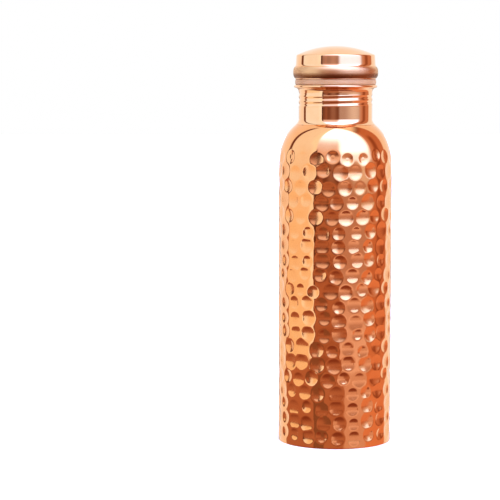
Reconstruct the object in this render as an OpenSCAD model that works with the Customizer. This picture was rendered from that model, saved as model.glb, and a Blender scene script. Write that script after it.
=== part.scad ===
// Hammered copper water bottle with a screw cap, in millimetres.
// +Z is up. The origin is the centre of the foot, on the surface that the bottle stands on.
// The cap's thread is right-handed, so a positive turn about +Z unscrews the cap and raises it.

/* [Body] */
// Outside diameter of the hammered wall
body_d = 75; // [64:0.5:92]
// Height of the straight wall, up to the start of the shoulder
wall_h = 187; // [110:1:240]
// Radius of the shoulder's curve, seen from the side
shoulder_r = 31; // [22:0.5:37]
// Thickness of the body's copper sheet
sheet_t = 0.6; // [0.4:0.05:1]

/* [Base] */
// Thickness of the pressed base
base_t = 0.8; // [0.5:0.1:1.4]
// Height of the base's upturned flange
base_flange_h = 6; // [4:0.5:12]
// Width of the flat ring that the bottle stands on
foot_w = 5.5; // [3:0.5:9]
// Height of the raised middle of the base above the foot
base_rise = 3; // [1.5:0.5:6]
// Width of the sloping step up to the raised middle
base_step_w = 4; // [2:0.5:8]

/* [Neck] */
// Outside diameter of the neck
neck_d = 48.6; // [42:0.2:58.4]
// Height of the neck, from the shoulder to the flat top of its lip
neck_h = 24.8; // [20:0.2:34]
// Thickness of the neck's copper sheet
neck_t = 0.7; // [0.5:0.05:1]
// Depth that the neck reaches into the bottle below the shoulder's edge
neck_tail = 3; // [1:0.5:6]
// How far the lip stands out past the neck
lip_out = 3.2; // [2.6:0.1:4.5]
// Height of the flare below the lip
flare_h = 3.6; // [2.4:0.1:5]
// Thickness of the lip at its edge
lip_t = 0.9; // [0.6:0.1:1.4]
// Width of the lip's flat seat for the gasket
seat_w = 2.2; // [1.4:0.1:3]

/* [Thread] */
// Rise of the thread in one turn
pitch = 3.5; // [3:0.1:4.5]
// Distance from the flare down to the top of the thread
thread_drop = 0.6; // [0:0.1:3]
// Turns of thread in the neck and on the plug
thread_turns = 2.75; // [1.75:0.25:3.5]
// Height of the rolled rib inside the neck
rib_h = 0.9; // [0.6:0.05:1.1]
// Width of a rib at its foot
rib_w = 1.3; // [0.9:0.05:1.5]
// Width of a rib at its crest
rib_crest_w = 0.5; // [0.3:0.05:0.8]
// Depth of the rolled groove that shows outside the neck
groove_depth = 0.35; // [0.2:0.05:0.4]
// Radial clearance at the crest of the plug's thread
crest_gap = 0.3; // [0.15:0.05:0.5]
// Radial clearance between the neck's rib and the plug's wall
root_gap = 0.4; // [0.2:0.05:0.6]
// Distance along the bottle between the middles of two facing ribs
flank_pitch = 1.05; // [1:0.05:1.6]

/* [Gasket] */
// Thickness of the silicone gasket, squeezed between lip and cap
gasket_t = 3.7; // [2:0.1:5]
// How far the gasket's edge stays inside the lip's edge
gasket_inset = 0.7; // [0.3:0.1:1.5]
// Radius on the gasket's outer edges
gasket_edge_r = 0.8; // [0.4:0.1:0.9]
// Radial clearance between the gasket and the plug
gasket_gap = 0.3; // [0.15:0.05:0.5]

/* [Cap] */
// How far the knurled ring stands out past the lip
ring_over = 0.6; // [0.2:0.1:4]
// Height of the knurled ring
ring_h = 7.7; // [6.5:0.1:12]
// Height of the ring's sloping edges, above and below
ring_slope_h = 2.1; // [1:0.1:3]
// How far the ring's sloping edges draw in
ring_slope_w = 1.2; // [0.8:0.1:2]
// Radial thickness of the knurled ring
ring_w = 3.6; // [3:0.1:5]
// Height of the cap's flared skirt above the ring
skirt_h = 1.8; // [1:0.1:4]
// How far the skirt flares out from the cap's side
skirt_out = 0.6; // [0.3:0.1:1]
// Height of the cap's side, from the skirt to the round edge of the top
side_h = 5; // [3:0.2:14]
// How far the side draws in towards the top
side_draw = 0.3; // [0:0.1:1]
// Radius of the edge between the cap's side and its dome
edge_r = 1.2; // [0.8:0.1:2.5]
// Radius of the domed top
dome_r = 60; // [40:1:120]
// Thickness of the cap's copper sheet
cap_t = 0.6; // [0.4:0.05:1]
// Thickness of the plug's copper sheet
plug_t = 0.6; // [0.4:0.05:1]
// Length of the plug below the gasket's seat
plug_len = 15.7; // [12:0.1:24]
// Radius round the plug's closed end
plug_edge_r = 1.5; // [1:0.1:3]
// How far the plug's flange stops short of the ring's lower edge
flange_inset = 0.3; // [0.1:0.1:1]

/* [Braze] */
// Radius of the brazed fillet outside, at the foot of the neck
neck_fillet = 5; // [2:0.5:7]
// Leg of the brazed fillets inside the base and the cap
inner_fillet = 1; // [0.6:0.1:1.2]

/* [Hidden] */
$fn = 96;
fine_fn = 360; // for the shoulder's large arc
overlap = 0.25; // how far a rib's foot reaches into the wall that it belongs to
turn_steps = 48; // flat steps in one turn of thread
lead_turns = 0.15; // share of a turn over which a rib fades at each end
arc_steps = 8; // flat steps in a small rounded edge

// Body
body_r = body_d / 2;
neck_r = neck_d / 2;
arc_x = body_r - shoulder_r; // centre of the shoulder's curve
shoulder_top = wall_h + sqrt(pow(shoulder_r, 2) - pow(neck_r - arc_x, 2));

// Fillet at the foot of the neck, tangent to the neck and to the shoulder's curve
fillet_x = neck_r + neck_fillet;
fillet_z = wall_h + sqrt(pow(shoulder_r + neck_fillet, 2) - pow(fillet_x - arc_x, 2));

// Neck
neck_bore_r = neck_r - neck_t;
lip_r = neck_r + lip_out;
lip_top = shoulder_top + neck_h;
flare_z = lip_top - lip_t - flare_h;
thread_z = flare_z - thread_drop - thread_turns * pitch;

// Plug and gasket
plug_rib_r = neck_bore_r - crest_gap;
plug_r = neck_bore_r - rib_h - root_gap;
gasket_top = lip_top + gasket_t;
plug_end = lip_top - plug_len;

// Cap
ring_r = lip_r + ring_over;
ring_bore_r = ring_r - ring_w;
ring_foot = gasket_top + plug_t;
ring_top = ring_foot + ring_h;
skirt_edge_w = cap_t * sqrt(1 + pow(skirt_out / skirt_h, 2)); // the sheet's width, cut level
skirt_r = ring_r - ring_slope_w;
side_r = skirt_r - skirt_out;
side_z = ring_top + skirt_h;
side_top_r = side_r - side_draw;
edge_z = side_z + side_h;
edge_x = side_top_r - edge_r;
dome_z = edge_z - sqrt(pow(dome_r - edge_r, 2) - pow(edge_x, 2)); // centre of the dome's sphere
dome_angle = asin(edge_x / (dome_r - edge_r));

// Points of an arc about (x, z), from angle a to angle b.
function arc(x, z, r, a, b, steps = arc_steps) =
    [for (i = [0:steps]) let (t = a + (b - a) * i / steps) [x + r * cos(t), z + r * sin(t)]];

// A helical rib or groove of four corners. Its foot is at foot_r and its crest at crest_r, and
// it fades out at both ends by drawing its crest back to faded_r.
module helix(foot_r, crest_r, faded_r, z) {
    steps = round(thread_turns * turn_steps);
    side = sign(crest_r - foot_r);
    function fade(s) = min(1, s * thread_turns / lead_turns, (1 - s) * thread_turns / lead_turns);
    function place(r, s, dz) =
        let (a = 360 * s * thread_turns)
            [r * cos(a), r * sin(a), z + s * thread_turns * pitch + side * dz];
    points = [
        for (i = [0:steps])
            let (s = i / steps, r = faded_r + (crest_r - faded_r) * fade(s))
                each [
                    place(foot_r, s, rib_w / 2), place(r, s, rib_crest_w / 2),
                    place(r, s, -rib_crest_w / 2), place(foot_r, s, -rib_w / 2)
                ]
    ];
    side_faces = [
        for (i = [0:steps - 1], k = [0:3])
            let (a = 4 * i + k, b = 4 * i + (k + 1) % 4)
                each [[a, a + 4, b], [b, a + 4, b + 4]]
    ];
    last = 4 * steps;
    end_faces = [[0, 1, 2], [0, 2, 3], [last, last + 2, last + 1], [last, last + 3, last + 2]];
    polyhedron(points, concat(side_faces, end_faces));
}

// The curved sheet of the shoulder, as a flat outline.
module shoulder_outline() {
    intersection() {
        translate([arc_x, wall_h]) difference() {
            circle(shoulder_r, $fn = fine_fn);
            circle(shoulder_r - sheet_t, $fn = fine_fn);
        }
        translate([neck_r, wall_h]) square([body_r - neck_r, shoulder_r]);
    }
}

// Straight wall and shoulder, spun in one piece, with a round hole for the neck.
module body_shell() {
    color([0.86, 0.47, 0.30]) rotate_extrude() {
        translate([body_r - sheet_t, 0]) square([sheet_t, wall_h]);
        shoulder_outline();
    }
}

// Sheet neck with a flared lip. The thread is rolled into it, so it shows as ribs inside and as
// a groove outside.
module neck_collar() {
    foot = shoulder_top - neck_tail;
    outline = [
        [neck_bore_r, foot], [neck_r, foot], [neck_r, flare_z],
        [lip_r, lip_top - lip_t], [lip_r, lip_top], [lip_r - seat_w, lip_top],
        [neck_bore_r, flare_z]
    ];
    color([0.90, 0.52, 0.34]) union() {
        difference() {
            rotate_extrude() polygon(outline);
            helix(neck_r + overlap, neck_r - groove_depth, neck_r + overlap / 2, thread_z);
        }
        helix(neck_bore_r + overlap, neck_bore_r - rib_h, neck_bore_r + overlap / 2, thread_z);
    }
}

// Filler metal dressed to a smooth fillet outside, between shoulder and neck.
module neck_braze() {
    top = acos((neck_r - arc_x) / shoulder_r);
    foot = atan2(fillet_z - wall_h, fillet_x - arc_x);
    color([0.90, 0.52, 0.34]) rotate_extrude() polygon(concat(
        arc(arc_x, wall_h, shoulder_r, top, foot),
        arc(fillet_x, fillet_z, neck_fillet, 180 + foot, 180)
    ));
}

// Pressed base: an upturned flange inside the wall, a flat ring to stand on, and a raised middle.
module base_dish() {
    rim_r = body_r - sheet_t;
    step_r = rim_r - foot_w;
    middle_r = step_r - base_step_w;
    color([0.84, 0.47, 0.31]) rotate_extrude() polygon([
        [rim_r, 0], [rim_r, base_flange_h], [rim_r - base_t, base_flange_h],
        [rim_r - base_t, base_t], [step_r, base_t], [middle_r, base_rise + base_t],
        [0, base_rise + base_t], [0, base_rise], [middle_r, base_rise], [step_r, 0]
    ]);
}

// Filler metal inside, on top of the base's flange.
module base_braze() {
    rim_r = body_r - sheet_t;
    color([0.80, 0.62, 0.48]) rotate_extrude() polygon([
        [rim_r - base_t, base_flange_h], [rim_r, base_flange_h], [rim_r, base_flange_h + inner_fillet]
    ]);
}

// Outline of the cap's outer or inner face from the ring up, drawn in by the sheet's thickness.
function cap_face(inset, level_inset) = concat(
    [[skirt_r - level_inset, ring_top], [side_r - inset, side_z]],
    arc(edge_x, edge_z, edge_r - inset, 0, 90 - dome_angle),
    arc(0, dome_z, dome_r - inset, 90 - dome_angle, 90, 2 * arc_steps)
);

// Spun cap: a low dome, a smooth side and a skirt that flares over the knurled ring.
module cap_shell() {
    inner = cap_face(cap_t, skirt_edge_w);
    color([0.92, 0.55, 0.37]) rotate_extrude()
        polygon(concat(cap_face(0, 0), [for (i = [len(inner) - 1:-1:0]) inner[i]]));
}

// Turned grip ring under the skirt.
module knurled_ring() {
    color([0.78, 0.44, 0.30]) rotate_extrude() polygon([
        [ring_bore_r, ring_foot], [skirt_r, ring_foot], [ring_r, ring_foot + ring_slope_h],
        [ring_r, ring_top - ring_slope_h], [skirt_r, ring_top], [ring_bore_r, ring_top]
    ]);
}

// Filler metal inside the cap, where the skirt stands on the ring.
module cap_braze() {
    skirt_in = skirt_r - skirt_edge_w;
    lean = skirt_out / skirt_h;
    color([0.80, 0.62, 0.48]) rotate_extrude() polygon([
        [skirt_in - inner_fillet, ring_top], [skirt_in, ring_top],
        [skirt_in - lean * inner_fillet, ring_top + inner_fillet]
    ]);
}

// Drawn cup with a flange under the ring, a closed end and the thread that holds the cap on.
module plug_cup() {
    flange_r = skirt_r - flange_inset;
    end_r = plug_r - plug_edge_r;
    outer = arc(end_r, plug_end + plug_edge_r, plug_edge_r, -90, 0);
    inner = arc(end_r, plug_end + plug_edge_r, plug_edge_r - plug_t, 0, -90);
    color([0.86, 0.50, 0.33]) union() {
        rotate_extrude() polygon(concat(
            [[0, plug_end]], outer,
            [[plug_r, gasket_top], [flange_r, gasket_top],
             [flange_r, ring_foot], [plug_r - plug_t, ring_foot]],
            inner, [[0, plug_end + plug_t]]
        ));
        helix(plug_r - overlap, plug_rib_r, plug_r - overlap / 2, thread_z - flank_pitch);
    }
}

// Filler metal inside the cap, between the ring and the plug's flange.
module plug_braze() {
    color([0.80, 0.62, 0.48]) rotate_extrude() polygon([
        [ring_bore_r - inner_fillet, ring_foot], [ring_bore_r, ring_foot],
        [ring_bore_r, ring_foot + inner_fillet]
    ]);
}

// Silicone ring round the plug, squeezed between the lip and the plug's flange.
module gasket() {
    outer_r = lip_r - gasket_inset;
    bore_r = plug_r + gasket_gap;
    round_r = outer_r - gasket_edge_r;
    color([0.80, 0.72, 0.68]) rotate_extrude() polygon(concat(
        [[bore_r, lip_top]],
        arc(round_r, lip_top + gasket_edge_r, gasket_edge_r, -90, 0),
        arc(round_r, gasket_top - gasket_edge_r, gasket_edge_r, 0, 90),
        [[bore_r, gasket_top]]
    ));
}

body_shell();
neck_collar();
neck_braze();
base_dish();
base_braze();
cap_shell();
knurled_ring();
cap_braze();
plug_cup();
plug_braze();
gasket();
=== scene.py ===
import random
from math import acos, atan2, cos, hypot, pi, radians, sin, sqrt, tau

import bmesh
import bpy
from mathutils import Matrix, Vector


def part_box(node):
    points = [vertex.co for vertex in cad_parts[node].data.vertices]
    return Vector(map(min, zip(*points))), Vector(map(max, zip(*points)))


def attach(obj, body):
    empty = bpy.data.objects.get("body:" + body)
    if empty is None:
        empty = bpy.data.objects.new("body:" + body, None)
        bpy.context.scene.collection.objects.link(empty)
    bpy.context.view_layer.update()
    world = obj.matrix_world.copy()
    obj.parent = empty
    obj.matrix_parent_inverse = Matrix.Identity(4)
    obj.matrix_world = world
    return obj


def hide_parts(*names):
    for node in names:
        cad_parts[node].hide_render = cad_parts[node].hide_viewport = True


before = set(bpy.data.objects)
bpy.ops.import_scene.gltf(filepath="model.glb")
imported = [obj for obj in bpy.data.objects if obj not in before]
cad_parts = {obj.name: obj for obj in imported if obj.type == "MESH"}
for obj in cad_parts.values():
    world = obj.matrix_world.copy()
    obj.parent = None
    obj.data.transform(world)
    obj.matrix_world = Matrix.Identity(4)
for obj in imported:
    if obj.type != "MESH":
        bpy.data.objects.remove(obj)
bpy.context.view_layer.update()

scene = bpy.context.scene
mm = 0.001


def ease(value):
    value = min(1, max(0, value))
    return value * value * (3 - 2 * value)


cameraLook = {
    "distance": 1272 * mm,    # level distance from the bottle's axis
    "height": 247.2 * mm,     # about as high as the cap's ring
    "side": -56.6 * mm,       # stands a little to the left, so the bottle sits right of centre
    "tiltDown": radians(5.38),
    "lens": 138,              # on a 36 mm wide sensor
}


def makeCamera(look):
    data = bpy.data.cameras.new("camera")
    data.sensor_width = 36
    data.lens = look["lens"]
    camera = bpy.data.objects.new("camera", data)
    camera.location = (look["side"], -look["distance"], look["height"])
    camera.rotation_euler = (pi / 2 - look["tiltDown"], 0, 0)
    scene.collection.objects.link(camera)
    scene.camera = camera


makeCamera(cameraLook)
scene.view_settings.view_transform = "Standard"
print("camera ready")


# Each panel is a patch of sky round the bottle: where it stands (degrees to the right of the
# camera's side, and degrees up), how soft its edges are, and its light. "both" mirrors it.
studioBase = (0.19, 0.075, 0.047)
studioPanels = [
    {"name": "frontGlow", "across": (-17, -2), "up": (-3, 14),
     "soft": (12, 8), "light": (0.36, 0.19, 0.15)},
    {"name": "frontStreak", "across": (-35, -28), "up": (-3, 14),
     "soft": (4, 8), "light": (0.31, 0.12, 0.075)},
    {"name": "frontHaze", "across": (-60, 20), "up": (9, 95),
     "soft": (8, 15), "light": (0.95, 0.78, 0.84)},
    {"name": "frontHigh", "across": (-60, 20), "up": (30, 95),
     "soft": (8, 22), "light": (1.0, 1.15, 1.7)},
    {"name": "table", "across": (-180, 180), "up": (-95, -2.8),
     "soft": (1, 5), "light": (0.50, 0.215, 0.13)},
    {"name": "nearTable", "across": (-180, 180), "up": (-95, -24),
     "soft": (1, 24), "light": (0.25, 0.07, 0.035)},
    {"name": "ceiling", "across": (-180, 180), "up": (64, 95),
     "soft": (1, 16), "light": (1.15, 1.12, 1.10)},
    {"name": "warmWall", "across": (77, 126), "up": (-95, 58),
     "soft": (6, 12), "light": (0.62, 0.26, 0.15)},
    {"name": "warmTable", "across": (65, 126), "up": (-95, -3),
     "soft": (5, 4), "light": (0.62, 0.25, 0.14)},
    {"name": "warmShade", "across": (92, 104), "up": (-95, 40),
     "soft": (9, 12), "light": (0.34, 0.11, 0.055)},
    {"name": "warmFoot", "across": (62, 126), "up": (-95, -8.8),
     "soft": (4, 3.5), "light": (0.82, 0.35, 0.20)},
    {"name": "backdrop", "across": (124, 190), "up": (-95, 95),
     "soft": (5, 5), "light": (1.06, 1.04, 1.0), "both": True},
    {"name": "backRoom", "across": (161, 190), "up": (-95, -1.5),
     "soft": (8, 3), "light": (0.62, 0.47, 0.38), "both": True},
    {"name": "backdropLeft", "across": (-126, -120.5), "up": (-95, 95),
     "soft": (3, 5), "light": (1.06, 1.04, 1.0)},
    {"name": "leftPanel", "across": (-112, -46), "up": (14, 95),
     "soft": (1.5, 3), "light": (1.06, 1.20, 1.33)},
    {"name": "leftEdge", "across": (-64, -46.5), "up": (14, 95),
     "soft": (11, 4), "light": (1.2, 1.3, 1.4)},
    {"name": "panelFrame", "across": (-45.5, -41.5), "up": (-95, 26),
     "soft": (1, 10), "light": (0.09, 0.028, 0.014)},
    {"name": "frameFoot", "across": (-45.5, -24), "up": (-95, -7.5),
     "soft": (3, 3), "light": (0.27, 0.12, 0.07)},
    {"name": "fillTable", "across": (17, 65), "up": (-24, -3),
     "soft": (7, 7), "light": (0.76, 0.49, 0.43)},
    {"name": "fillLow", "across": (9, 77), "up": (-3, 95),
     "soft": (8, 5), "light": (0.55, 0.42, 0.42)},
    {"name": "fillHigh", "across": (40, 77), "up": (-3, 95),
     "soft": (34, 5), "light": (0.85, 0.78, 0.82)},
    {"name": "softboxFoot", "across": (8, 76), "up": (4.5, 88),
     "soft": (12, 8), "light": (1.35, 1.8, 3.0)},
    {"name": "bigSoftbox", "across": (8, 75), "up": (20, 88),
     "soft": (16, 18), "light": (2.6, 3.0, 5.2)},
    {"name": "topSoftbox", "across": (-47, 14), "up": (49, 90),
     "soft": (10, 28), "light": (2.6, 3.2, 6.0)},
]
# Three sheets stand on the table close to the bottle, so how far down they show in the copper
# changes with height. Each has its lights at heights above the table.
nearSheets = {
    "reach": 345 * mm,
    "steps": 62,
    "left": {
        "across": (-106, -44.5),
        "rows": ((10, (1.07, 0.95, 0.73)), (125, (1.07, 0.97, 0.79)),
                 (190, (1.06, 1.15, 1.20)), (420, (1.06, 1.22, 1.38))),
        "edgeLight": (1.2, 1.3, 1.4),
        "edgeWidth": 13,          # degrees from the brighter edge to the plain sheet
        "edgeSoft": 9,
    },
    "front": {
        "across": (-41.5, 7),
        "rows": ((0, (0.36, 0.13, 0.07)), (40, (0.46, 0.19, 0.11)),
                 (70, (0.50, 0.215, 0.13)), (92, (0.30, 0.11, 0.065))),
    },
    "right": {
        "across": (7, 61.5),
        "rows": ((0, (0.95, 0.70, 0.68)), (45, (0.80, 0.55, 0.52)),
                 (80, (0.60, 0.38, 0.34)), (150, (0.55, 0.34, 0.30))),
    },
}


def mathNode(nodes, links, operation, first, second=None):
    node = nodes.new("ShaderNodeMath")
    node.operation = operation
    for socket, value in zip(node.inputs, (first, second)):
        if value is None:
            continue
        if isinstance(value, (int, float)):
            socket.default_value = value
        else:
            links.new(value, socket)
    return node.outputs[0]


def rampNode(nodes, links, value, low, high, toLow=0.0, toHigh=1.0):
    node = nodes.new("ShaderNodeMapRange")
    node.interpolation_type = "SMOOTHSTEP"
    links.new(value, node.inputs["Value"])
    node.inputs["From Min"].default_value = low
    node.inputs["From Max"].default_value = high
    node.inputs["To Min"].default_value = toLow
    node.inputs["To Max"].default_value = toHigh
    return node.outputs["Result"]


def mixColours(nodes, links, factor, first, second):
    node = nodes.new("ShaderNodeMix")
    node.data_type = "RGBA"
    for index, value in ((0, factor), (6, first), (7, second)):
        if isinstance(value, bpy.types.NodeSocket):
            links.new(value, node.inputs[index])
        elif index == 0:
            node.inputs[0].default_value = value
        else:
            node.inputs[index].default_value = (*value, 1)
    return node.outputs[2]


def bandMask(nodes, links, value, span, soft):
    rise = rampNode(nodes, links, value, radians(span[0] - soft / 2), radians(span[0] + soft / 2))
    fall = rampNode(nodes, links, value, radians(span[1] - soft / 2), radians(span[1] + soft / 2), 1, 0)
    return mathNode(nodes, links, "MULTIPLY", rise, fall)


def makeStudio(panels, base):
    world = bpy.data.worlds.new("studio")
    world.use_nodes = True
    scene.world = world
    nodes, links = world.node_tree.nodes, world.node_tree.links
    nodes.clear()
    direction = nodes.new("ShaderNodeTexCoord").outputs["Generated"]
    split = nodes.new("ShaderNodeSeparateXYZ")
    links.new(direction, split.inputs[0])
    towards = mathNode(nodes, links, "MULTIPLY", split.outputs[1], -1.0)
    across = mathNode(nodes, links, "ARCTAN2", split.outputs[0], towards)
    acrossEither = mathNode(nodes, links, "ABSOLUTE", across)
    up = mathNode(nodes, links, "ARCSINE", split.outputs[2])
    colour = base
    for panel in panels:
        side = acrossEither if panel.get("both") else across
        softAcross, softUp = panel["soft"]
        mask = mathNode(
            nodes, links, "MULTIPLY",
            bandMask(nodes, links, side, panel["across"], softAcross),
            bandMask(nodes, links, up, panel["up"], softUp),
        )
        colour = mixColours(nodes, links, mask, colour, panel["light"])
    studioLight = nodes.new("ShaderNodeBackground")
    links.new(colour, studioLight.inputs["Color"])
    paper = nodes.new("ShaderNodeBackground")     # what the lens sees past the floor
    paper.inputs["Color"].default_value = (1, 1, 1, 1)
    choose = nodes.new("ShaderNodeMixShader")
    links.new(nodes.new("ShaderNodeLightPath").outputs["Is Camera Ray"], choose.inputs[0])
    links.new(studioLight.outputs[0], choose.inputs[1])
    links.new(paper.outputs[0], choose.inputs[2])
    links.new(choose.outputs[0], nodes.new("ShaderNodeOutputWorld").inputs["Surface"])


def makeSheet(name, look, reach, steps):
    bm = bmesh.new()
    glow = bm.verts.layers.float_color.new("glow")
    start, end = look["across"]
    side = reach * Vector((sin(radians(start)), -cos(radians(start)), 0))
    rise = [bm.verts.new(side + Vector((0, 0, height * mm))) for height, _ in look["rows"]]
    edges = [bm.edges.new(pair) for pair in zip(rise, rise[1:])]
    bmesh.ops.spin(bm, geom=rise + edges, cent=(0, 0, 0), axis=(0, 0, 1),
                   angle=radians(end - start), steps=steps)
    lights = {round(height): light for height, light in look["rows"]}
    for vert in bm.verts:
        light = lights[round(vert.co.z / mm)]
        if "edgeLight" in look:
            across = atan2(vert.co.x, -vert.co.y) * 180 / pi
            share = ease((across - end + look["edgeWidth"]) / look["edgeSoft"])
            light = [low + (high - low) * share for low, high in zip(light, look["edgeLight"])]
        vert[glow] = (*light, 1)
    mesh = bpy.data.meshes.new(name)
    bm.to_mesh(mesh)
    bm.free()
    material = bpy.data.materials.new(name + "Light")
    material.use_nodes = True
    nodes, links = material.node_tree.nodes, material.node_tree.links
    nodes.clear()
    light = nodes.new("ShaderNodeEmission")
    tone = nodes.new("ShaderNodeAttribute")
    tone.attribute_name = "glow"
    links.new(tone.outputs["Color"], light.inputs["Color"])
    links.new(light.outputs[0], nodes.new("ShaderNodeOutputMaterial").inputs["Surface"])
    mesh.materials.append(material)
    sheet = bpy.data.objects.new(name, mesh)
    scene.collection.objects.link(sheet)
    sheet.visible_camera = False
    sheet.visible_diffuse = False
    sheet.visible_shadow = False


floorLook = {
    "size": 6.0,
    "colour": (0.86, 0.86, 0.86, 1),
    "rough": 0.9,
    "glow": 0.25,
    "drop": 0.05 * mm,            # just clear of the foot
}


def makeFloor(look):
    bm = bmesh.new()
    bmesh.ops.create_grid(bm, x_segments=1, y_segments=1, size=look["size"])
    mesh = bpy.data.meshes.new("floor")
    bm.to_mesh(mesh)
    bm.free()
    floor = bpy.data.objects.new("floor", mesh)
    scene.collection.objects.link(floor)
    material = bpy.data.materials.new("palePaper")
    material.use_nodes = True
    shader = material.node_tree.nodes["Principled BSDF"]
    shader.inputs["Base Color"].default_value = look["colour"]
    shader.inputs["Roughness"].default_value = look["rough"]
    shader.inputs["Emission Color"].default_value = (1, 1, 1, 1)
    shader.inputs["Emission Strength"].default_value = look["glow"]
    mesh.materials.append(material)
    floor.location.z = -look["drop"]
    floor.visible_glossy = False


makeStudio(studioPanels, studioBase)
for side in ("left", "front", "right"):
    makeSheet(side + "Sheet", nearSheets[side], nearSheets["reach"], nearSheets["steps"])
makeFloor(floorLook)
print("studio ready")


def newMaterial(name):
    material = bpy.data.materials.new(name)
    material.use_nodes = True
    tree = material.node_tree
    return material, tree.nodes, tree.links, tree.nodes["Principled BSDF"]


def noiseNode(nodes, links, vector, scale, detail=3.0, rough=0.55):
    node = nodes.new("ShaderNodeTexNoise")
    links.new(vector, node.inputs["Vector"])
    node.inputs["Scale"].default_value = scale
    node.inputs["Detail"].default_value = detail
    node.inputs["Roughness"].default_value = rough
    return node.outputs["Fac"]


def stretched(nodes, links, vector, scale):
    node = nodes.new("ShaderNodeMapping")
    links.new(vector, node.inputs["Vector"])
    node.inputs["Scale"].default_value = scale
    return node.outputs["Vector"]


def linearRange(nodes, links, value, low, high, toLow, toHigh):
    node = nodes.new("ShaderNodeMapRange")
    links.new(value, node.inputs["Value"])
    for key, number in (("From Min", low), ("From Max", high), ("To Min", toLow), ("To Max", toHigh)):
        node.inputs[key].default_value = number
    return node.outputs["Result"]


def bumpNode(nodes, links, height, strength, distance, under=None):
    node = nodes.new("ShaderNodeBump")
    node.inputs["Strength"].default_value = strength
    node.inputs["Distance"].default_value = distance
    links.new(height, node.inputs["Height"])
    if under:
        links.new(under, node.inputs["Normal"])
    return node.outputs["Normal"]


# light and deep are the bright and the tarnished copper, rough the polish from best to worst,
# lines the depth of the marks that a spinning lathe leaves round the axis, in metres.
# smudge is how fine the tarnish is, dull how much rougher the hollows are, and the last value how far the
# marked places turn to deep: kept tarnish in the body's dents, but painted shade in the knurl's grooves and
# on its underside.
copperLooks = {
    "hammeredCopper": {
        "light": (0.95, 0.475, 0.215), "deep": (0.86, 0.33, 0.115), "rough": (0.035, 0.11),
        "lines": 0.0, "smudge": 55, "dull": 0.13, "stainAndShade": 0.3,
    },
    "polishedCopper": {
        "light": (0.955, 0.575, 0.33), "deep": (0.90, 0.44, 0.20), "rough": (0.03, 0.10),
        "lines": 1.5e-6, "smudge": 70,
    },
    # On the knurled ring deep is a near-black painted shade colour: the grooves and the underside are
    # darkened towards it, and the tarnish blotches use it too
    "knurledCopper": {
        "light": (0.95, 0.54, 0.285), "deep": (0.20, 0.06, 0.02), "rough": (0.10, 0.22),
        "lines": 0.0, "smudge": 90, "dull": 0.12, "stainAndShade": 0.9,
    },
    "satinCopper": {
        "light": (0.92, 0.50, 0.29), "deep": (0.74, 0.32, 0.15), "rough": (0.18, 0.34),
        "lines": 4e-6, "smudge": 80,
    },
    "pressedCopper": {
        "light": (0.90, 0.46, 0.25), "deep": (0.66, 0.27, 0.12), "rough": (0.14, 0.36),
        "lines": 6e-6, "smudge": 45,
    },
    "brazingMetal": {
        "light": (0.80, 0.60, 0.42), "deep": (0.55, 0.36, 0.22), "rough": (0.25, 0.45),
        "lines": 0.0, "smudge": 200,
    },
}
polishMarks = {
    "tarnish": 0.5,               # the most that the tarnish shows on open metal
    "scratchScale": (260, 260, 1900),
    "scratchDepth": 1.2e-6,
    "latheScale": (18, 18, 2600),
}


def makeCopper(name, look, tarnishAndShadeName=None):
    material, nodes, links, shader = newMaterial(name)
    place = nodes.new("ShaderNodeTexCoord").outputs["Object"]
    cloud = noiseNode(nodes, links, place, look["smudge"], 4, 0.6)
    tarnish = linearRange(nodes, links, cloud, 0.35, 0.75, 0, 1)
    tarnish = mathNode(nodes, links, "MULTIPLY", tarnish, polishMarks["tarnish"])
    upright = stretched(nodes, links, place, (1, 1, 0.45))
    smear = noiseNode(nodes, links, upright, look["smudge"] * 3, 5, 0.65)
    rough = linearRange(nodes, links, smear, 0.35, 0.8, *look["rough"])
    if tarnishAndShadeName:        # hollows keep some tarnish and stay duller, and the ridges are rubbed bright; on the knurled ring this mask paints shade into the grooves and the underside
        hollow = nodes.new("ShaderNodeAttribute")
        hollow.attribute_name = tarnishAndShadeName
        dull = mathNode(nodes, links, "MULTIPLY", hollow.outputs["Fac"], look["dull"])
        rough = mathNode(nodes, links, "ADD", rough, dull)
        # On the knurled ring this is painted shade, not tarnish: its grooves and underside are darkened
        # towards deep
        stainAndShade = mathNode(nodes, links, "MULTIPLY", hollow.outputs["Fac"], look["stainAndShade"])
        tarnish = mathNode(nodes, links, "MAXIMUM", tarnish, stainAndShade)
    links.new(mixColours(nodes, links, tarnish, look["light"], look["deep"]), shader.inputs["Base Color"])
    links.new(rough, shader.inputs["Roughness"])
    shader.inputs["Metallic"].default_value = 1
    level = stretched(nodes, links, place, polishMarks["scratchScale"])
    scratches = noiseNode(nodes, links, level, 1, 2, 0.5)
    normal = bumpNode(nodes, links, scratches, 0.5, polishMarks["scratchDepth"])
    if look["lines"]:
        turned = stretched(nodes, links, place, polishMarks["latheScale"])
        rings = noiseNode(nodes, links, turned, 1, 3, 0.6)
        normal = bumpNode(nodes, links, rings, 0.8, look["lines"], normal)
    links.new(normal, shader.inputs["Normal"])
    return material


siliconeLook = {
    "light": (0.65, 0.35, 0.165),
    "deep": (0.50, 0.25, 0.115),
    "rough": 0.42,
    "roughSpread": 0.08,
    "depth": 2 * mm,              # how far light travels inside
    "glow": 0.5,
    "grain": 8e-6,
}


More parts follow.
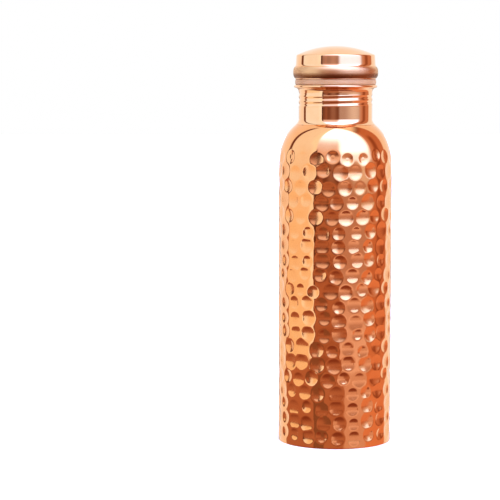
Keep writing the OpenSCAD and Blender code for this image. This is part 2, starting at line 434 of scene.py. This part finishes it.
def makeSilicone(look):
    material, nodes, links, shader = newMaterial("clearSilicone")
    place = nodes.new("ShaderNodeTexCoord").outputs["Object"]
    cloud = noiseNode(nodes, links, place, 120, 4, 0.6)
    links.new(mixColours(nodes, links, cloud, look["deep"], look["light"]), shader.inputs["Base Color"])
    low, high = look["rough"] - look["roughSpread"], look["rough"] + look["roughSpread"]
    links.new(linearRange(nodes, links, cloud, 0.3, 0.7, low, high), shader.inputs["Roughness"])
    shader.inputs["Subsurface Weight"].default_value = look["glow"]
    shader.inputs["Subsurface Radius"].default_value = (1, 0.7, 0.5)
    shader.inputs["Subsurface Scale"].default_value = look["depth"]
    shader.inputs["Specular IOR Level"].default_value = 0.4
    grain = noiseNode(nodes, links, place, 2500, 2, 0.5)
    links.new(bumpNode(nodes, links, grain, 0.3, look["grain"]), shader.inputs["Normal"])
    return material


materials = {
    name: makeCopper(name, look, "hollow" if "dull" in look else None) for name, look in copperLooks.items()
}
materials["clearSilicone"] = makeSilicone(siliconeLook)
print("materials ready:", len(materials))


def arcPoints(x, z, radius, start, end, steps):
    angles = [radians(start + (end - start) * i / steps) for i in range(steps + 1)]
    return [(x + radius * cos(a), z + radius * sin(a)) for a in angles]


def between(low, high, step):
    count = max(1, round((high - low) / step))
    return [low + (high - low) * i / count for i in range(count + 1)]


def spinProfile(points, steps, closed=True):
    bm = bmesh.new()
    verts = [bm.verts.new((r, 0, z)) for r, z in points]
    edges = [bm.edges.new(pair) for pair in zip(verts, verts[1:])]
    if closed:
        edges.append(bm.edges.new((verts[-1], verts[0])))
    bmesh.ops.spin(bm, geom=verts + edges, cent=(0, 0, 0), axis=(0, 0, 1), angle=tau, steps=steps,
                   use_merge=True)
    bmesh.ops.remove_doubles(bm, verts=bm.verts, dist=1e-7)
    bmesh.ops.recalc_face_normals(bm, faces=bm.faces)
    return bm


def moveRadially(vert, shift):
    length = hypot(vert.co.x, vert.co.y)
    vert.co.x *= (length + shift) / length
    vert.co.y *= (length + shift) / length


def finishPiece(bm, name, body, materialName, replaced, sharpAngle=38):
    mesh = bpy.data.meshes.new(name)
    bm.to_mesh(mesh)
    bm.free()
    mesh.materials.append(materials[materialName])
    mesh.shade_smooth()
    mesh.set_sharp_from_angle(angle=radians(sharpAngle))
    piece = bpy.data.objects.new(name, mesh)
    scene.collection.objects.link(piece)
    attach(piece, body)
    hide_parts(*replaced)
    print("made", name, len(mesh.polygons), "faces")


shellLow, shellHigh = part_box("body_shell")
neckLow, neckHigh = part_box("neck_collar")

bodyShape = {
    "radius": min(-shellLow.x, -shellLow.y, shellHigh.x, shellHigh.y),
    "wallTop": 187 * mm,          # where the shoulder starts
    "shoulderRadius": 31 * mm,
    "neckRadius": 24.3 * mm,
    "taper": 0.25 * mm,           # the foot is a little narrower than the shoulder
    "taperTop": 130 * mm,
    "lean": 0.5 * mm,             # how far the wall leans in before the shoulder's arc
    "leanStart": 15 * mm,         # it starts this far below the wall's top
    "leanRise": 20 * mm,          # and grows over this height
    "leanEnd": 8 * mm,            # it starts to go this far above the wall's top
    "leanFall": 14 * mm,          # and is gone over this height
    "sheet": 1.25 * mm,           # leaves room for the dents
    "footRound": 0.35 * mm,
    "row": 0.78 * mm,             # height of one row of faces on the wall
    "steps": 312,
}

hammerMarks = {
    "seed": 41,
    "rows": 20,
    "perRow": 22,
    "topRow": 190.5 * mm,         # measured up the wall and over the shoulder
    "bottomRow": 7.6 * mm,
    "radius": 4.7 * mm,
    "depth": 0.80 * mm,
    "rim": 0.07 * mm,             # how much the rims are rubbed over by polishing
    "wander": (0.63 * mm, 0.70 * mm),    # how far a blow lands from its place, across and up
    "sizes": (0.84, 1.14),
    "depths": (0.72, 1.15),
    "widths": (0.93, 1.08),
    # where a mark of each row sits, in degrees from the front, from the top row down
    "starts": (-22, -14, -9, -17, -23, -14, -16, -14, -17, -23,
               -16, -14, -13, -21, -20, -25, -18, -16, -15, -15),
}


def shoulderLean(z):
    above = z - bodyShape["wallTop"]
    rise = ease((above + bodyShape["leanStart"]) / bodyShape["leanRise"])
    fall = 1 - ease((above - bodyShape["leanEnd"]) / bodyShape["leanFall"])
    return bodyShape["lean"] * rise * fall


def bodyRadius(z):
    below = max(0, 1 - z / bodyShape["taperTop"])
    return bodyShape["radius"] - bodyShape["taper"] * below * below - shoulderLean(z)


def bodyProfile(s):
    arcX = s["radius"] - s["shoulderRadius"]
    topAngle = 180 / pi * acos((s["neckRadius"] - arcX) / s["shoulderRadius"])
    foot = bodyRadius(0)
    footEdge = arcPoints(foot - s["footRound"], s["footRound"], s["footRound"], -90, 0, 3)
    wall = [(bodyRadius(z), z) for z in between(s["footRound"], s["wallTop"], s["row"])[1:]]
    shoulder = arcPoints(arcX, s["wallTop"], s["shoulderRadius"], 0, topAngle, 37)[1:]
    shoulder = [(r - shoulderLean(z), z) for r, z in shoulder]
    inside = arcPoints(arcX, s["wallTop"], s["shoulderRadius"] - s["sheet"], topAngle - 1, 0, 12)
    insideWall = [(bodyRadius(z) - s["sheet"], z) for z in (130 * mm, 80 * mm, 40 * mm, 8 * mm, 0)]
    return footEdge + wall + shoulder + inside + insideWall


def placeMarks(m):
    dice = random.Random(m["seed"])
    pitch = (m["topRow"] - m["bottomRow"]) / (m["rows"] - 1)
    arcPitch = tau / m["perRow"]
    rows = []
    for row in range(m["rows"]):
        offset = radians(m["starts"][m["rows"] - 1 - row] - 90)
        marks = []
        for index in range(m["perRow"]):
            marks.append({
                "angle": offset + index * arcPitch + dice.gauss(0, m["wander"][0]) / bodyShape["radius"],
                "height": m["bottomRow"] + row * pitch + dice.gauss(0, m["wander"][1]),
                "radius": m["radius"] * dice.uniform(*m["sizes"]),
                "depth": m["depth"] * dice.uniform(*m["depths"]),
                "wide": dice.uniform(*m["widths"]),
            })
        rows.append((offset, marks))
    return rows, pitch, arcPitch


def hollowAt(angle, height, rows, pitch, arcPitch, m):
    deepest = 0
    middle = round((height - m["bottomRow"]) / pitch)
    for row in range(max(0, middle - 1), min(m["rows"], middle + 2)):
        offset, marks = rows[row]
        first = round((angle - offset) / arcPitch)
        for index in (first - 1, first, first + 1):
            mark = marks[index % m["perRow"]]
            turn = (angle - mark["angle"] + pi) % tau - pi
            across = turn * bodyShape["radius"] / mark["wide"]
            away = ((height - mark["height"]) ** 2 + across ** 2) / mark["radius"] ** 2
            if away < 1:
                deepest = max(deepest, mark["depth"] * (1 - away))
    return deepest - m["rim"] * (1 - ease(deepest / m["rim"] / 2)) * min(1, deepest / m["rim"])


def hammerBody(bm, s, m):
    rows, pitch, arcPitch = placeMarks(m)
    hollow = bm.verts.layers.float.new("hollow")
    arcX = s["radius"] - s["shoulderRadius"]
    inside = s["sheet"] * 0.6     # deeper than this is the inner face, which stays plain
    for vert in bm.verts:
        level = hypot(vert.co.x, vert.co.y)
        angle = atan2(vert.co.y, vert.co.x)
        outward = Vector((cos(angle), sin(angle), 0))
        height = vert.co.z
        if height > s["wallTop"]:
            rise = atan2(height - s["wallTop"], level - arcX)
            if hypot(height - s["wallTop"], level - arcX) < s["shoulderRadius"] - inside:
                continue
            height = s["wallTop"] + rise * s["shoulderRadius"]
            outward = outward * cos(rise) + Vector((0, 0, sin(rise)))
        elif level < bodyRadius(height) - inside:
            continue
        if height > m["topRow"] + 2 * m["radius"] or height <= s["footRound"]:
            continue
        depth = hollowAt(angle, height, rows, pitch, arcPitch, m)
        vert.co -= outward * depth
        vert[hollow] = depth / m["depth"]


bodyMesh = spinProfile(bodyProfile(bodyShape), bodyShape["steps"])
hammerBody(bodyMesh, bodyShape, hammerMarks)
finishPiece(bodyMesh, "hammeredBody", "bottle", "hammeredCopper", ["body_shell"])


threadShape = {
    "pitch": 3.5 * mm,
    "turns": 2.75,
    "neckStart": 222.455 * mm,    # height where the neck's thread starts, on the +X side
    "plugDrop": 1.05 * mm,        # the plug's thread sits this far below
    "lead": 0.22,                 # share of a turn over which it fades out
    "ribHalf": 0.6 * mm,
    "crest": 1.15,                # over 1 gives the rib a flat top
}
near = 0.01 * mm                  # closer than this counts as on a face


def threadAt(co, start, t):
    turned = atan2(co.y, co.x) % tau / tau
    lap = (co.z - start) / t["pitch"] - turned
    nearest = round(lap)
    along = nearest + turned
    return (lap - nearest) * t["pitch"], ease(min(along, t["turns"] - along) / t["lead"])


def ribHeight(offset, t):
    return ease(t["crest"] * (1 - abs(offset) / t["ribHalf"]))


neckShape = {
    "radius": 24.3 * mm,
    "bore": 23.6 * mm,
    "threadBottom": 220.8 * mm,
    "flareStart": 232.4 * mm,
    "flareRadius": 3 * mm,
    "bead": 0.98 * mm,            # radius of the rolled lip
    "seatIn": 25.4 * mm,
    "seatEdge": (0.3 * mm, 0.12 * mm),
    "throat": (0.6 * mm, 2.4 * mm),      # how wide and how deep the mouth opens
    "threadOver": 1 * mm,         # how far the thread may run into the flare
    "row": 0.21 * mm,
    "steps": 168,
    "swell": 0.1 * mm,            # the sheet swells a little between the grooves
    "grooveDepth": 0.46 * mm,
    "ribRise": 0.88 * mm,
}


def neckProfile(s):
    top, lip = neckHigh.z, neckHigh.x
    flare = arcPoints(s["radius"] + s["flareRadius"], s["flareStart"], s["flareRadius"], 180, 106, 9)
    bead = arcPoints(lip - s["bead"], top - s["bead"], s["bead"], -78, 90, 12)
    rows = between(s["threadBottom"], s["flareStart"], s["row"])
    outer = [(s["radius"], neckLow.z)] + [(s["radius"], z) for z in rows[:-1]]
    throat = [(s["seatIn"], top), (s["seatIn"] - s["seatEdge"][0], top - s["seatEdge"][1]),
              (s["bore"] + s["throat"][0], top - s["throat"][1])]
    inner = [(s["bore"], z) for z in reversed(rows)] + [(s["bore"], neckLow.z)]
    return outer + flare + bead + throat + inner


def rollThread(bm, s, t):
    for vert in bm.verts:
        if not s["threadBottom"] <= vert.co.z <= s["flareStart"] + s["threadOver"]:
            continue
        offset, strength = threadAt(vert.co, t["neckStart"], t)
        level = hypot(vert.co.x, vert.co.y)
        if level > (s["radius"] + s["bore"]) / 2:
            wave = 0.5 + 0.5 * cos(tau * offset / t["pitch"])
            moveRadially(vert, strength * (s["swell"] - s["grooveDepth"] * wave))
        elif level < s["bore"] + near:
            moveRadially(vert, -strength * s["ribRise"] * ribHeight(offset, t))


neckMesh = spinProfile(neckProfile(neckShape), neckShape["steps"])
rollThread(neckMesh, neckShape, threadShape)
finishPiece(neckMesh, "threadedNeck", "bottle", "polishedCopper", ["neck_collar"])

filletShape = {"radius": 5 * mm, "edge": 0.16 * mm, "steps": 168}


def filletProfile(s, b):
    arcX = b["radius"] - b["shoulderRadius"]
    x = b["neckRadius"] + s["radius"]
    rise = sqrt((b["shoulderRadius"] + s["radius"]) ** 2 - (x - arcX) ** 2)
    foot = 180 / pi * atan2(rise, x - arcX)
    top = 180 / pi * acos((b["neckRadius"] - arcX) / b["shoulderRadius"])
    under = arcPoints(arcX, b["wallTop"], b["shoulderRadius"], top, foot, 4)
    count = 12
    over = []
    for i in range(count + 1):        # the filler thins out, and ends in a small edge
        share = i / count
        angle = radians(180 + foot * (1 - share))
        reach = s["radius"] - s["edge"] * (1 - share)
        over.append((x + reach * cos(angle), b["wallTop"] + rise + reach * sin(angle)))
    return under + over


finishPiece(spinProfile(filletProfile(filletShape, bodyShape), filletShape["steps"]), "neckFillet",
            "bottle", "polishedCopper", ["neck_braze"])


panShape = {
    "sheet": 0.8 * mm,
    "flange": 6 * mm,
    "footWidth": 4.8 * mm,
    "stepWidth": 4.5 * mm,
    "rise": 3 * mm,
    "crown": 0.35 * mm,
    "edge": 0.5 * mm,
    "steps": 144,
}


def panProfile(s):
    rim = bodyRadius(0) - bodyShape["sheet"]
    stepOut = rim - s["footWidth"]
    stepIn = stepOut - s["stepWidth"]
    swept = [i / 10 for i in range(11)]
    under = arcPoints(rim - s["edge"], s["edge"], s["edge"], 0, -90, 4)
    under += [(stepOut - s["stepWidth"] * t, s["rise"] * ease(t)) for t in swept]
    under += [(stepIn * (1 - t), s["rise"] + s["crown"] * (1 - (1 - t) ** 2)) for t in swept[1:]]
    over = [(r, z + s["sheet"]) for r, z in reversed(under[5:])]      # all but the rounded edge
    corner = rim - s["sheet"]
    return [(rim, s["flange"])] + under + over + [(corner, s["sheet"]), (corner, s["flange"])]


finishPiece(spinProfile(panProfile(panShape), panShape["steps"]), "basePan",
            "bottle", "pressedCopper", ["base_dish"])


panFilletShape = {"radius": 1.1 * mm, "steps": 144}


def panFilletProfile(s):
    rim = bodyRadius(0) - bodyShape["sheet"]
    x, z = rim - s["radius"], panShape["flange"] + s["radius"]
    return [(rim, panShape["flange"])] + arcPoints(x, z, s["radius"], 0, -60, 5)


finishPiece(spinProfile(panFilletProfile(panFilletShape), panFilletShape["steps"]), "panFillet",
            "bottle", "brazingMetal", ["base_braze"])


ringLow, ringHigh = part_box("knurled_ring")
plugLow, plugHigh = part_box("plug_cup")
gasketLow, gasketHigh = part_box("gasket")

capShape = {
    "skirt": 26.9 * mm,
    "side": 26.3 * mm,
    "sideTop": 26.0 * mm,
    "skirtHeight": 1.8 * mm,
    "sideHeight": 5 * mm,
    "edge": 1.2 * mm,
    "dome": 60 * mm,
    "sheet": 0.6 * mm,
    "trim": (0.1 * mm, 0.12 * mm),       # the broken edge where the skirt is trimmed
    "steps": 192,
}


def capFace(s, inset):
    foot = ringHigh.z
    sideFoot = foot + s["skirtHeight"]
    edgeZ = sideFoot + s["sideHeight"]
    edgeX = s["sideTop"] - s["edge"]
    domeZ = edgeZ - sqrt((s["dome"] - s["edge"]) ** 2 - edgeX ** 2)
    lean = 180 / pi * acos((edgeZ - domeZ) / (s["dome"] - s["edge"]))
    count = 6
    flare = []
    for i in range(count + 1):
        out = (s["skirt"] - s["side"]) * (1 - sin(pi / 2 * i / count))
        flare.append((s["side"] + out - inset, foot + s["skirtHeight"] * i / count))
    side = [
        (s["side"] + (s["sideTop"] - s["side"]) * i / 4 - inset, sideFoot + s["sideHeight"] * i / 4)
        for i in range(1, 4)
    ]
    edge = arcPoints(edgeX, edgeZ, s["edge"] - inset, 0, 90 - lean, 7)
    dome = arcPoints(0, domeZ, s["dome"] - inset, 90 - lean, 90, 24)[1:]
    return flare + side + edge + dome


def capProfile(s):
    outer, inner = capFace(s, 0), capFace(s, s["sheet"])
    outer[0] = (outer[0][0] - s["trim"][0], outer[0][1])
    outer.insert(1, (s["skirt"], ringHigh.z + s["trim"][1]))
    return outer + inner[::-1]


finishPiece(spinProfile(capProfile(capShape), capShape["steps"]), "capShell",
            "cap", "polishedCopper", ["cap_shell"])


knurlShape = {
    "teeth": 150,
    "perTooth": 6,
    "depth": 0.22 * mm,
    "runOut": 0.2,                # share of half the ring's height over which the knurl fades
    "paintedShade": (0.38, 1.0),         # painted shade in the grooves, and painted shade on the underside
    "underShadeStart": 0.36,           # the underside's painted shade at mid height, and how fast it grows downward
    "underShadeGrowth": 1.1,
    "drawIn": 1.2 * mm,           # how far the ring's edges draw in
    "power": 3,
    "width": 3.6 * mm,
}


def ringProfile(s):
    middle = (ringLow.z + ringHigh.z) / 2
    half = (ringHigh.z - ringLow.z) / 2
    row = tau * ringHigh.x / s["teeth"] / s["perTooth"]
    face = [
        (ringHigh.x - s["drawIn"] * abs((z - middle) / half) ** s["power"], z)
        for z in between(ringLow.z, ringHigh.z, row)
    ]
    bore = ringHigh.x - s["width"]
    return face + [(bore, ringHigh.z), (bore, ringLow.z)]


def cutKnurl(bm, s):
    hollow = bm.verts.layers.float.new("hollow")
    middle = (ringLow.z + ringHigh.z) / 2
    half = (ringHigh.z - ringLow.z) / 2
    pitch = tau * ringHigh.x / s["teeth"]
    for vert in bm.verts:
        if hypot(vert.co.x, vert.co.y) < ringHigh.x - s["drawIn"] - near:
            continue
        along = atan2(vert.co.y, vert.co.x) / tau * s["teeth"]
        up = (vert.co.z - middle) / pitch
        ridges = [2 * abs((along + way * up + 0.5) % 1 - 0.5) for way in (-1, 1)]
        fade = ease((1 - abs(vert.co.z - middle) / half) / s["runOut"])
        groove = fade * (1 - min(ridges))
        moveRadially(vert, -s["depth"] * groove)
        # Painted shade: the ring goes dark towards its underside and in its grooves, standing in for shade;
        # it is stored in the same mask as the grooves' depth
        under = ease(s["underShadeStart"] - s["underShadeGrowth"] * (vert.co.z - middle) / half)
        vert[hollow] = max(s["paintedShade"][0] * groove, s["paintedShade"][1] * under)


ringMesh = spinProfile(ringProfile(knurlShape), knurlShape["teeth"] * knurlShape["perTooth"])
cutKnurl(ringMesh, knurlShape)
finishPiece(ringMesh, "gripRing", "cap", "knurledCopper", ["knurled_ring"], 75)


plugShape = {
    "radius": 22.3 * mm,
    "sheet": 0.6 * mm,
    "endRound": 1.5 * mm,
    "pressedRing": 13 * mm,       # radius of the step pressed in the closed end
    "pressedDepth": 0.5 * mm,
    "pressedSlope": 1.2 * mm,
    "ribRise": 0.98 * mm,
    "threadTop": 232.6 * mm,
    "row": 0.24 * mm,
    "steps": 160,
}


def plugProfile(s):
    end, seat, top = plugLow.z, gasketHigh.z, plugHigh.z
    endX = s["radius"] - s["endRound"]
    shares = [i / 5 for i in range(6)]
    pressed = [(s["pressedRing"] - share * s["pressedSlope"], end + s["pressedDepth"] * ease(share))
               for share in shares]
    pressed = [(0, pressed[-1][1])] + pressed[::-1]
    outerRound = arcPoints(endX, end + s["endRound"], s["endRound"], -90, 0, 7)
    wall = [(s["radius"], z) for z in between(end + s["endRound"], s["threadTop"], s["row"])[1:]]
    flange = [(s["radius"], seat), (plugHigh.x, seat), (plugHigh.x, top), (s["radius"] - s["sheet"], top)]
    innerRound = arcPoints(endX, end + s["endRound"], s["endRound"] - s["sheet"], 0, -90, 4)
    inside = [(r, z + s["sheet"]) for r, z in reversed(pressed)]
    return pressed + outerRound + wall + flange + innerRound + inside


def rollPlugThread(bm, s, t):
    for vert in bm.verts:
        if vert.co.z > s["threadTop"] or hypot(vert.co.x, vert.co.y) < s["radius"] - near:
            continue
        offset, strength = threadAt(vert.co, t["neckStart"] - t["plugDrop"], t)
        moveRadially(vert, strength * s["ribRise"] * ribHeight(offset, t))


plugMesh = spinProfile(plugProfile(plugShape), plugShape["steps"], closed=False)
rollPlugThread(plugMesh, plugShape, threadShape)
finishPiece(plugMesh, "plugCup", "cap", "satinCopper", ["plug_cup"])


gasketShape = {"bore": 22.6 * mm, "edge": 0.8 * mm, "bulge": 0.12 * mm, "steps": 144}


def gasketProfile(s):
    outer = gasketHigh.x - s["bulge"]
    x = outer - s["edge"]
    lower = arcPoints(x, gasketLow.z + s["edge"], s["edge"], -90, 0, 6)
    upper = arcPoints(x, gasketHigh.z - s["edge"], s["edge"], 0, 90, 6)
    count = 8
    rise = upper[0][1] - lower[-1][1]
    face = [
        (outer + s["bulge"] * sin(pi * i / count), lower[-1][1] + rise * i / count) for i in range(1, count)
    ]
    return [(s["bore"], gasketLow.z)] + lower + face + upper + [(s["bore"], gasketHigh.z)]


finishPiece(spinProfile(gasketProfile(gasketShape), gasketShape["steps"]), "siliconeGasket",
            "seal", "clearSilicone", ["gasket"])


for nodeName in ("cap_braze", "plug_braze"):
    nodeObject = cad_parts[nodeName]
    nodeObject.data.materials.clear()
    nodeObject.data.materials.append(materials["brazingMetal"])
print("filler metal finished")
